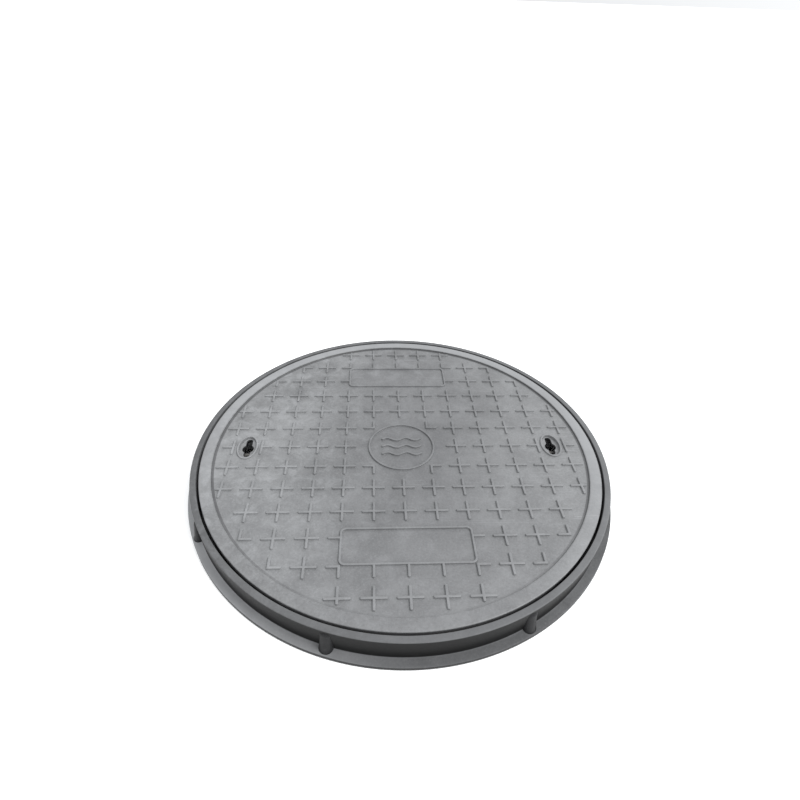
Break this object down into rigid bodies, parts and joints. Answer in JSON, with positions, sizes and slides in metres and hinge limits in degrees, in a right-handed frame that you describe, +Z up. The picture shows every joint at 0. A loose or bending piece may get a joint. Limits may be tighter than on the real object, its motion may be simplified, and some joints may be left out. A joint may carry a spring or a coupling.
{
  "type": "manhole cover",
  "caption": "Round moulded-composite manhole cover with a raised cross tread, two lifting keyholes and a flanged seat frame that it lifts out of.",
  "frame": {"origin": "centre of the frame's underside, on the bedding plane", "axes": "+Z up, out of the road; the two keyholes lie along X and the two plain panels along Y"},
  "size_m": [0.7499, 0.75, 0.05],
  "materials": {
    "composite": "moulded grey resin composite, satin, lightly scuffed",
    "steel": "drawn mild steel, dull",
    "rubber": "matt black moulded rubber"
  },
  "bodies": {
    "frame_body": {"frame": "composite", "frame_hoop_inner": "steel", "frame_hoop_outer": "steel", "frame_hoop_top": "steel", "seat_gasket": "rubber"},
    "lid_body": {"lid": "composite", "bar_across_1": "steel", "bar_across_2": "steel", "bar_across_3": "steel", "bar_across_4": "steel", "bar_across_5": "steel", "bar_across_6": "steel", "bar_along_1": "steel", "bar_along_2": "steel", "bar_along_3": "steel", "bar_along_4": "steel", "bar_along_5": "steel", "bar_along_6": "steel", "lid_hoop_lower": "steel", "lid_hoop_upper": "steel", "lift_bar_left": "steel", "lift_bar_right": "steel"}
  },
  "joints": [
    {"name": "lid_lift", "type": "slide", "parent": "frame_body", "child": "lid_body", "axis": [0, 0, 1], "range_m": [0, 0.09]}
  ]
}
